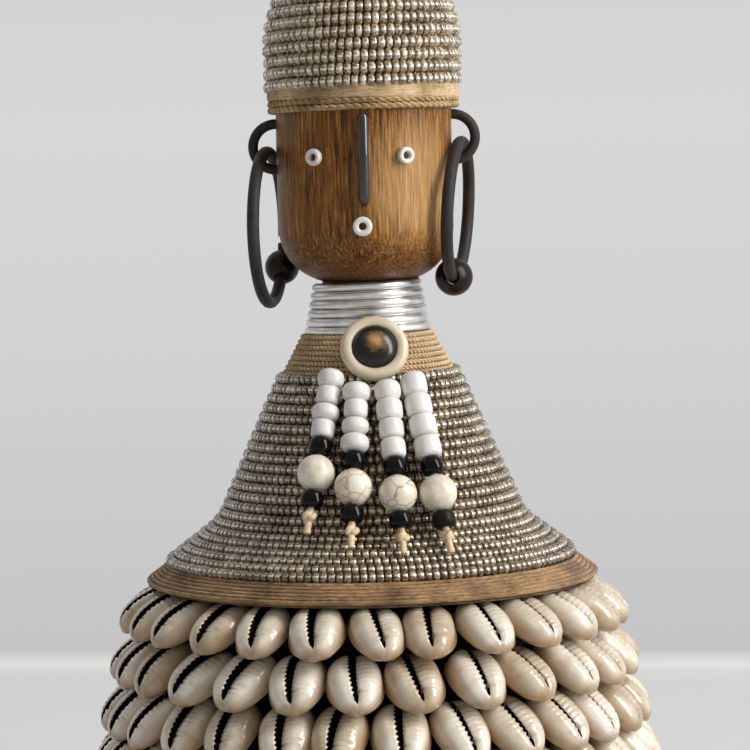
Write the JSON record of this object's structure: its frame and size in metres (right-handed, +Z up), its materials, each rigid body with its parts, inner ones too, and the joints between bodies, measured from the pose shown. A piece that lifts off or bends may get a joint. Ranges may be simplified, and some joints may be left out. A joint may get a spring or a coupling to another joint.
{
  "type": "namji doll",
  "caption": "Standing doll with a carved wooden head, beaded hat and cape, wire neck coil, swinging hoop earrings, pendant strands and a cowrie-shell skirt.",
  "frame": {"origin": "centre of the flat base, on the surface the doll stands on", "axes": "+Z up through the figure, the face looks along -Y, +X to the right of the picture"},
  "size_m": [0.152, 0.152, 0.2389],
  "materials": {
    "form_cloth": "tan woven backing cloth over a stuffed form",
    "carved_wood": "stained brown wood, worn satin",
    "jute": "tan jute twine",
    "seed_glass": "silver-lined grey-beige glass seed beads",
    "aluminium_wire": "bright drawn wire",
    "charcoal_leather": "matt charcoal cord over wire",
    "dark_wood": "near-black polished wood",
    "white_glass": "opaque off-white glass, satin",
    "bone": "ivory-coloured polished bone",
    "black_lacquer": "black lacquer, worn brown at the centre",
    "cowrie_shell": "glossy cream cowrie shell",
    "black_glass": "opaque black glass, glossy",
    "howlite": "cream stone with tan veins, polished",
    "tan_leather": "tan waxed cord"
  },
  "bodies": {
    "figure": {"skirt_form": "form_cloth", "cape_form": "form_cloth", "hat_cap": "form_cloth", "carved_figure": "carved_wood", "brim_cord": "jute", "shoulder_twine": "jute", "hat_band_cord": "jute", "cape_bead_strand": "seed_glass", "hat_bead_strand": "seed_glass", "neck_wire": "aluminium_wire", "nose_rod": "charcoal_leather", "left_ear_loop": "charcoal_leather", "right_ear_loop": "charcoal_leather", "left_eye_bead": "white_glass", "right_eye_bead": "white_glass", "mouth_bead": "white_glass", "medallion_ring": "bone", "medallion_dome": "black_lacquer", "cowrie_row_1": "cowrie_shell", "cowrie_row_2": "cowrie_shell", "cowrie_row_3": "cowrie_shell", "cowrie_row_4": "cowrie_shell", "cowrie_row_5": "cowrie_shell", "cowrie_row_6": "cowrie_shell"},
    "left_hoop": {"left_hoop": "charcoal_leather"},
    "right_hoop": {"right_hoop": "charcoal_leather"},
    "left_hoop_bead": {"left_hoop_bead": "dark_wood"},
    "right_hoop_bead": {"right_hoop_bead": "dark_wood"},
    "strand_1": {"strand_1_white_bead_1": "white_glass", "strand_1_white_bead_2": "white_glass", "strand_1_white_bead_3": "white_glass", "strand_1_white_bead_4": "white_glass", "strand_1_upper_black_bead": "black_glass", "strand_1_stone_bead": "howlite", "strand_1_lower_black_bead": "black_glass", "strand_1_cord": "tan_leather"},
    "strand_2": {"strand_2_white_bead_1": "white_glass", "strand_2_white_bead_2": "white_glass", "strand_2_white_bead_3": "white_glass", "strand_2_white_bead_4": "white_glass", "strand_2_upper_black_bead": "black_glass", "strand_2_stone_bead": "howlite", "strand_2_lower_black_bead": "black_glass", "strand_2_cord": "tan_leather"},
    "strand_3": {"strand_3_white_bead_1": "white_glass", "strand_3_white_bead_2": "white_glass", "strand_3_white_bead_3": "white_glass", "strand_3_white_bead_4": "white_glass", "strand_3_upper_black_bead": "black_glass", "strand_3_stone_bead": "howlite", "strand_3_lower_black_bead": "black_glass", "strand_3_cord": "tan_leather"},
    "strand_4": {"strand_4_white_bead_1": "white_glass", "strand_4_white_bead_2": "white_glass", "strand_4_white_bead_3": "white_glass", "strand_4_white_bead_4": "white_glass", "strand_4_upper_black_bead": "black_glass", "strand_4_stone_bead": "howlite", "strand_4_lower_black_bead": "black_glass", "strand_4_cord": "tan_leather"}
  },
  "joints": [
    {"name": "left_hoop_swing", "type": "hinge", "parent": "figure", "child": "left_hoop", "pos_m": [-0.02422, 0, 0.18715], "axis": [0.1736, 0.9848, 0], "range_deg": [0, 80]},
    {"name": "right_hoop_swing", "type": "hinge", "parent": "figure", "child": "right_hoop", "pos_m": [0.02426, 0, 0.18872], "axis": [-0.1822, -0.9833, 0], "range_deg": [0, 80]},
    {"name": "left_bead_slide", "type": "hinge", "parent": "left_hoop", "child": "left_hoop_bead", "pos_m": [-0.02422, 0, 0.16845], "axis": [0.9848, -0.1736, 0], "range_deg": [-170, 5]},
    {"name": "right_bead_slide", "type": "hinge", "parent": "right_hoop", "child": "right_hoop_bead", "pos_m": [0.02309, 0.00021, 0.17181], "axis": [0.9809, -0.1818, -0.0698], "range_deg": [-5, 140]},
    {"name": "strand_1_lift", "type": "hinge", "parent": "figure", "child": "strand_1", "pos_m": [-0.00887, -0.0241, 0.13393], "axis": [-0.9385, 0.3453, 0], "range_deg": [0, 60]},
    {"name": "strand_2_lift", "type": "hinge", "parent": "figure", "child": "strand_2", "pos_m": [-0.00297, -0.02694, 0.13073], "axis": [-0.994, 0.1097, 0], "range_deg": [0, 60]},
    {"name": "strand_3_lift", "type": "hinge", "parent": "figure", "child": "strand_3", "pos_m": [0.00421, -0.02657, 0.13119], "axis": [-0.9877, -0.1564, 0], "range_deg": [0, 60]},
    {"name": "strand_4_lift", "type": "hinge", "parent": "figure", "child": "strand_4", "pos_m": [0.0103, -0.02415, 0.13265], "axis": [-0.9198, -0.3923, 0], "range_deg": [0, 60]}
  ]
}
